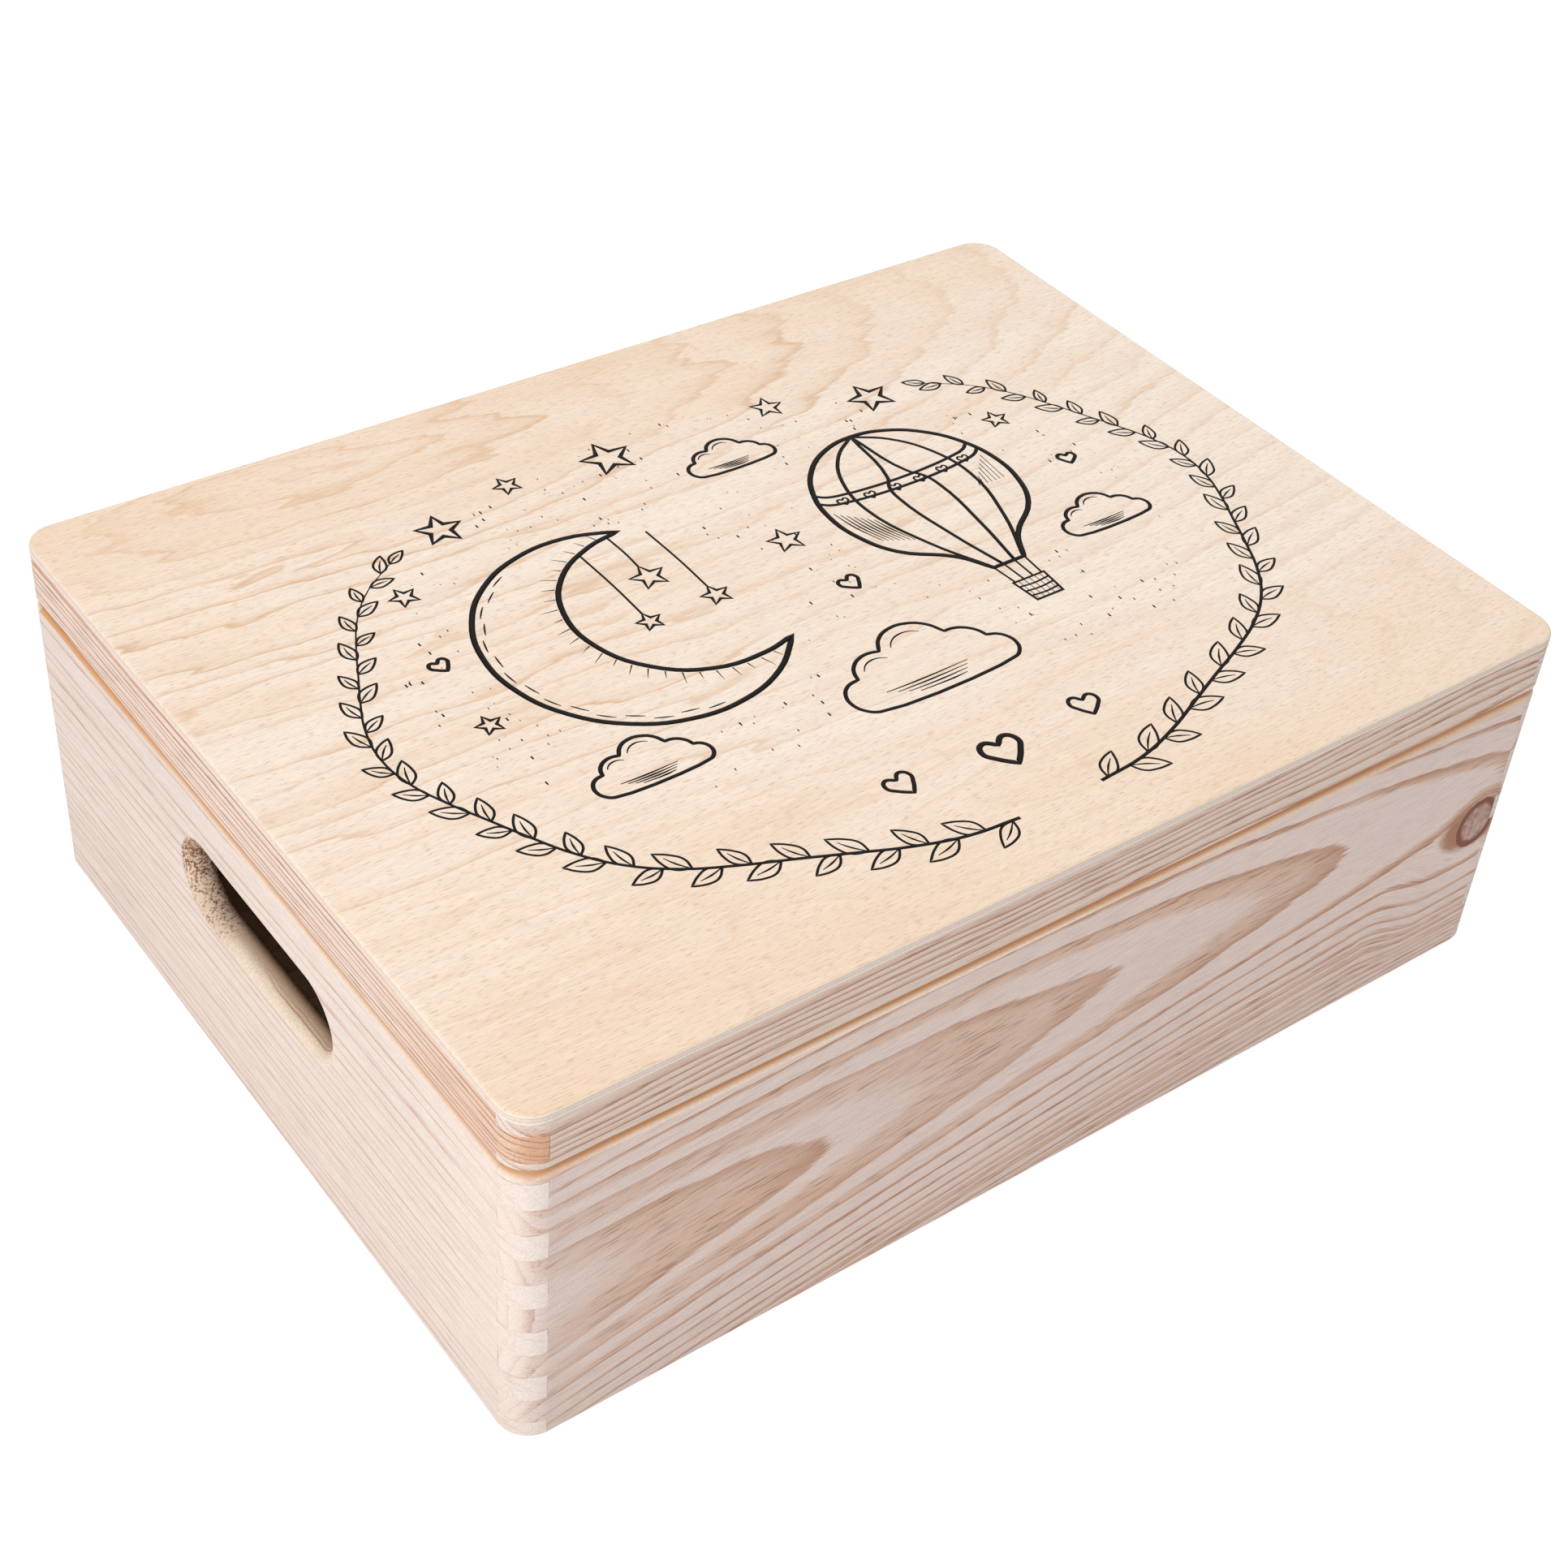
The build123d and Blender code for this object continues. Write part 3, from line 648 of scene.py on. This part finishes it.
def print_lines(name, strokes, ink):
    """Prints pen strokes on the lid as one flat film of ink. A stroke is its points, its pen, whether it
    is closed, and the numbers of its sharp corners."""
    merged_within = 0.000002
    bpy.ops.object.select_all(action="DESELECT")
    bpy.ops.curve.primitive_bezier_curve_add()
    film = bpy.context.object
    film.name = name
    curve = film.data
    curve.splines.clear()
    curve.twist_mode = "Z_UP"
    curve.bevel_depth = MM
    curve.bevel_resolution = 0
    curve.use_fill_caps = True
    for points, pen, closed, corners in strokes:
        spline = curve.splines.new("BEZIER")
        spline.bezier_points.add(len(points) - 1)
        spline.use_cyclic_u = closed
        spline.resolution_u = 5
        for number, (point, (x, y)) in enumerate(zip(spline.bezier_points, points)):
            part = number / max(len(points) - 1, 1)
            early, late = 1 - min(part * 2, 1), max(part * 2 - 1, 0)
            point.co = (x * MM, y * MM, 0)
            point.radius = (pen[0] * early + pen[1] * (1 - early - late) + pen[2] * late) / 2
            sharp = corners == "all" or number in corners
            point.handle_left_type = point.handle_right_type = "VECTOR" if sharp else "AUTO"
    bpy.ops.object.convert(target="MESH")
    bpy.ops.object.mode_set(mode="EDIT")
    bpy.ops.mesh.select_all(action="SELECT")
    bpy.ops.transform.resize(value=(1, 1, INK_PRESSED), center_override=(0, 0, 0))
    bpy.ops.transform.translate(value=(0, 0, PANEL_TOP * MM))
    bpy.ops.mesh.remove_doubles(threshold=merged_within)
    bpy.ops.mesh.normals_make_consistent(inside=False)
    bpy.ops.object.mode_set(mode="OBJECT")
    bpy.ops.object.transform_apply(location=True, rotation=True, scale=True)
    film.data.materials.clear()
    film.data.materials.append(ink)
    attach(film, "lid")


def open_stroke(points, pen=HAIR, corners=()):
    """One stroke with two ends."""
    return [(points, pen, False, corners)]


def closed_stroke(points, pen=PEN, corners=()):
    """One stroke that comes back to its start."""
    return [(points, pen, True, corners)]


def leaf(base, turn, length):
    """An outlined leaf and its rib."""
    width = length * 0.3
    outline = [(0, 0), (length * 0.35, width * 0.75), (length * 0.68, width * 0.6), (length, 0),
               (length * 0.62, -width * 0.55), (length * 0.3, -width * 0.65)]
    rib = [(0, 0), (length * 0.4, width * 0.1), (length * 0.72, 0)]
    return closed_stroke(turned(base, turn, outline), FINE, (0, 3)) + open_stroke(turned(base, turn, rib))


def wreath():
    """Two leafy branches that rise from the middle of the front and leave the back open."""
    half_width, half_height, ripple = 157, 116, 2.0
    start, end, steps, leaves = 0.1, 2.38, 20, 39
    strokes = []
    for side in (-1, 1):
        def place(angle):
            wave = ripple * math.sin(angle * 9)
            return (side * (half_width + wave) * math.sin(angle) + 2,
                    -(half_height + wave) * math.cos(angle) - 9)
        stem = [place(start + (end - start) * step / steps) for step in range(steps + 1)]
        strokes += open_stroke(stem, (1.3, 1.0, 0.4))
        for number in range(leaves):
            angle = start + (end - start) * (number + 0.3) / leaves
            (x, y), (ahead_x, ahead_y) = place(angle), place(angle + 0.02)
            heading = math.degrees(math.atan2(ahead_y - y, ahead_x - x))
            out = -1 if number % 2 else 1
            length = 12.5 - 4.5 * number / (leaves - 1) + (number % 3) * 0.8
            strokes += leaf((x, y), heading + out * (42 - 6 * (number % 3)), length)
        strokes += leaf(place(end), heading, 8.5)
    return strokes


def star(centre, size, turn, pen=PEN):
    """A five-pointed outline."""
    points = []
    for number in range(10):
        reach = size if number % 2 == 0 else size * 0.45
        angle = math.radians(number * 36)
        points.append((reach * math.cos(angle), reach * math.sin(angle)))
    return closed_stroke(turned(centre, turn, points), pen, "all")


def heart(centre, size, turn, pen=PEN):
    """An outline with a sharp foot and a sharp notch."""
    shape = [(0, -0.9), (0.62, -0.25), (0.92, 0.3), (0.55, 0.78), (0, 0.42), (-0.55, 0.78), (-0.92, 0.3),
             (-0.62, -0.25)]
    return closed_stroke(turned(centre, turn, [(x * size, y * size) for x, y in shape]), pen, (0, 4))


def moon():
    """A crescent with hatching down its hollow side and three stars hung from it on threads."""
    middle, radius = (-58, 10), 50
    hollow = (middle[0] + 21, middle[1] + 4.5)
    outer = arc(middle, radius, 62, 322, 13)
    inner = arc(hollow, 38.5, 308, 78, 9)
    strokes = closed_stroke(outer + inner[1:-1], BOLD, (0, 12))
    for number in range(26):
        angle = 92 + number * 7.6
        x, y = arc(hollow, 39.8, angle, angle + 1, 2)[0]
        reach = 3.2 + 2.4 * math.sin(number * 1.9) ** 2
        dx, dy = math.cos(math.radians(angle + 14)), math.sin(math.radians(angle + 14))
        hatch = [(x, y), (x + dx * reach * 0.5, y + dy * reach * 0.5), (x + dx * reach, y + dy * reach)]
        strokes += open_stroke(hatch, (0.5, 0.35, 0.15))
    for number in range(15):
        angle = 118 + number * 10.5
        strokes += open_stroke(arc(middle, radius - 2.6 - (number % 2) * 1.2, angle, angle + 7.5, 4))
    for x, top, bottom, size in ((-40, 55.0, 28, 6.5), (-27, 50.5, 9, 5.2), (-53, 51.0, 8, 4.6)):
        strokes += open_stroke([(x, top - 1), (x + 0.4, (top + bottom) / 2), (x, bottom + size)], FINE)
        strokes += star((x, bottom), size, 90)
    return strokes


def one_cloud(centre, width):
    """Five puffs on a flat foot, with a curl inside two of them and shading along the foot."""
    puffs = [(-0.37, 0.0, 0.13), (-0.2, 0.11, 0.16), (0.05, 0.18, 0.2), (0.26, 0.07, 0.15),
             (0.39, -0.02, 0.11)]
    outline, corners, start, foot = [], [], 250, -70
    for number, (x, y, size) in enumerate(puffs[:-1]):
        # Each puff ends where the next one crosses it
        next_x, next_y, next_size = puffs[number + 1]
        apart, heading = math.dist((x, y), (next_x, next_y)), math.atan2(next_y - y, next_x - x)
        share = (apart ** 2 + size ** 2 - next_size ** 2) / (2 * apart)
        stop = math.degrees(heading + math.acos(share / size))
        outline += arc((x, y), size, start, stop, 6)[:-1]
        corners.append(len(outline))
        start = 180 + math.degrees(heading - math.acos((apart - share) / next_size))
    outline += arc(puffs[-1][:2], puffs[-1][2], start, foot, 6)
    placed = [(centre[0] + x * width, centre[1] + y * width) for x, y in outline]
    strokes = closed_stroke(placed, PEN, tuple(corners))
    for x, y, size in puffs[1:3]:
        inside = (centre[0] + x * width, centre[1] + y * width)
        strokes += open_stroke(arc(inside, size * width * 0.68, 150, 50, 5))
    for number in range(4):
        left = centre[0] + (-0.3 + number * 0.05) * width
        y = centre[1] + (-0.02 - number * 0.025) * width
        right = left + (0.5 - number * 0.07) * width
        strokes += open_stroke([(left, y), (left + 0.2 * width, y - 0.3), (right, y)])
    return strokes


def balloon():
    """A hot-air balloon with shaded gores, a band of hearts, ropes and a woven basket."""
    x, y, r = 66, 22, 36
    throat, mouth = y - r * 1.02, y - r * 1.32
    hull = arc((x, y), r, -38, 218, 13, squash=1.08)
    hull += [(x - 13, throat), (x - 6.5, mouth), (x + 6.5, mouth), (x + 13, throat)]
    strokes = closed_stroke(hull, BOLD, (14, 15))
    for share in (-0.62, -0.24, 0.24, 0.62):
        bulge = (60, 0) if share > 0 else (120, 180)
        gore = [(x, y + r * 1.08)] + arc((x, y), r * abs(share), *bulge, 3, squash=1.6)
        gore += [(x + share * r * 0.72, y - r * 0.72), (x + share * 10.5, y - r * 1.3)]
        strokes += open_stroke(gore, PEN)
    for number in range(7):
        left = x + (-0.93 + number * 0.045) * r
        right = x + (0.9 - number * 0.05) * r
        foot = x + (0.86 - number * 0.05) * r
        strokes += open_stroke([(left, y + 4 - number * 1.6), (left + 1.5, y - 6 - number),
                                (left + 5, y - 17 - number * 0.8)])
        strokes += open_stroke([(right, y + 7 - number * 2), (foot, y - 8)])
    for level, squash in ((0.42, 0.16), (0.3, 0.16)):
        half = r * math.sqrt(1 - level ** 2) * 0.99
        strokes += open_stroke(arc((x, y + r * level), half, 180, 360, 9, squash=squash), PEN)
    for number in range(6):
        level = y + 7.6 + 0.35 * (number - 2.5) ** 2 - 1.6
        strokes += heart((x - 26 + number * 10.4, level), 2.2, 0, FINE)
    rim, foot = mouth - 10, mouth - 21
    for side in (-1, -0.35, 0.35, 1):
        strokes += open_stroke([(x + side * 6.5, mouth), (x + side * 5.6, rim)], FINE, "all")
    strokes += closed_stroke([(x - 6.5, rim), (x + 6.5, rim), (x + 5.4, foot), (x - 5.4, foot)], PEN, "all")
    for number in range(1, 4):
        level = rim - number * 2.8
        strokes += open_stroke([(x - 5.8, level), (x, level - 0.5), (x + 5.8, level)], FINE)
    for number in range(5):
        left = x - 4.4 + number * 2.2
        strokes += open_stroke([(left, mouth - 10.4), (left, foot + 0.4)], HAIR, "all")
    return strokes


def scattered_dots():
    """Small dots of four sizes over the sky, clear of the moon, the balloon and the clouds."""
    wanted, half_width, half_height, lowest = 210, 136, 102, -70
    clear = [((-58, 10), 54), ((66, 12), 44), ((66, -40), 14), ((8, -52), 30), ((-92, -46), 24),
             ((112, -16), 21), ((22, 76), 20)]
    random.seed(11)
    strokes = []
    while len(strokes) < wanted:
        angle, reach = random.uniform(0, math.tau), math.sqrt(random.random())
        x, y = half_width * reach * math.cos(angle), half_height * reach * math.sin(angle)
        if all(math.dist((x, y), spot) > room for spot, room in clear) and y > lowest:
            size = random.choice((0.7, 0.9, 1.1, 1.6))
            strokes += open_stroke([(x - size * 0.18, y), (x + size * 0.18, y)], (size, size, size), "all")
    return strokes


def print_picture():
    """The lid's picture: a nursery sky in black line work."""
    ink = printed_ink()
    print_lines("picture_wreath", wreath(), ink)
    print_lines("picture_moon", moon(), ink)
    print_lines("picture_balloon", balloon(), ink)
    clouds = []
    for centre, width in (((8, -58), 64), ((-92, -52), 40), ((112, -22), 36), ((22, 70), 34)):
        clouds += one_cloud(centre, width)
    print_lines("picture_clouds", clouds, ink)
    small = star((-84, 84), 8, 80, BOLD) + star((-52, 95), 5, 100) + star((-14, 92), 9.5, 90, BOLD)
    small += star((52, 91), 6, 75) + star((88, 78), 8.5, 96, BOLD) + star((118, 44), 5, 84)
    small += star((-112, 58), 5, 100) + star((10, 22), 6.5, 85) + star((-122, -10), 4.5, 92)
    small += heart((-34, -96), 5.5, 10) + heart((2, -100), 7.5, 0, BOLD) + heart((38, -96), 5.5, -10)
    small += heart((14, -8), 4.2, 12) + heart((124, 12), 3.6, -14) + heart((-120, 22), 3.6, 12)
    print_lines("picture_stars_and_hearts", small, ink)
    print_lines("picture_dots", scattered_dots(), ink)


# ---------------------------------------------------------------- the box, dressed


def dress(nodes, material):
    """Gives CAD nodes their material."""
    for name in nodes:
        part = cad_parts[name]
        part.data.materials.clear()
        part.data.materials.append(material)


set_camera()
light_studio()
lay_table()

dress(["front_wall"], pine(
    "sanded_pine_front_board", pith=(0, -63.7, 73.5), turn=(0, -3.2, 1.87), ring=3.85, first=83.17,
    sweep=0.000204, sway=0.35, uneven=0.04, narrow=0.06, seed=3425, rise=0.4, late_from=(0.02, 0.8),
    tones=("ECD8CF", "DBB59C", "B27A5B"), end_tone="F6E5D8", end_share=0.82, worn_ends=0.45, bow=8.0,
    knots=[((182, -HALF_DEPTH, 58.5), (1, 0, 0.9), 9.4)]))
dress(["back_wall"], pine(
    "sanded_pine_back_board", pith=(0, 96, 40), turn=(0, 2.4, 1.3), ring=3.8, first=60, sweep=-0.0001,
    sway=1.6, knots=[((-96, HALF_DEPTH, 71), (1, 0, 1), 5.5)]))
dress(["left_wall"], pine(
    "sanded_pine_left_board", pith=(-138, 0, 136), turn=(0, 0.9, 90.4), ring=3.5, first=61, grain="Y",
    sway=0.5, late_from=(0.6, 0.85), contrast=0.8, tones=("F0DFD5", "E2C1AB", "BF9176"),
    end_tone="F8ECE3", end_share=0.5, fade=-0.00022, worn_ends=0.25, glow=0.004, slot=True))
dress(["right_wall"], pine(
    "sanded_pine_right_board", pith=(148, 0, -20), turn=(0, -1.5, 91.2), ring=3.6, first=55, grain="Y",
    sway=1.3, slot=True))
dress(["lid_front_rail"], pine(
    "sanded_pine_lid_front_rail", pith=(0, -190, 178), turn=(0, 0.5, -1.6), ring=2.6, first=40, sway=1.7,
    tones=LID_TONES, late_from=(0.3, 0.55), rise=0.8, contrast=1.2, finger_at=LID_FINGER))
dress(["lid_back_rail"], pine(
    "sanded_pine_lid_back_rail", pith=(0, 192, 60), turn=(0, -0.6, 1.2), ring=2.5, first=42,
    tones=LID_TONES, late_from=(0.3, 0.6), finger_at=LID_FINGER))
dress(["lid_left_rail"], pine(
    "sanded_pine_lid_left_rail", pith=(-176, 0, 185), turn=(0, 0.6, 90.3), ring=2.2, first=50, grain="Y",
    sway=0.8, tones=("EFDACC", "D69C78", "A4683F"), late_from=(0.35, 0.65), contrast=1.4,
    end_tone="D3946A", end_share=0.45, amber=0.5, finger_at=LID_FINGER))
dress(["lid_right_rail"], pine(
    "sanded_pine_lid_right_rail", pith=(180, 0, 60), turn=(0, -0.5, 89.2), ring=2.8, first=50, grain="Y",
    sway=1.0, tones=LID_TONES, finger_at=LID_FINGER))
dress(["lid_panel"], birch_plywood("sanded_birch_plywood_lid", PANEL_BOTTOM, PANEL_TOP))
dress(["bottom_panel"], birch_plywood("sanded_birch_plywood_floor", FLOOR_BOTTOM, FLOOR_TOP, flame=0.7))
dress([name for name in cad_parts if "hinge" in name], zinc_plated_steel())

print_picture()

bpy.context.scene.view_settings.view_transform = "Standard"
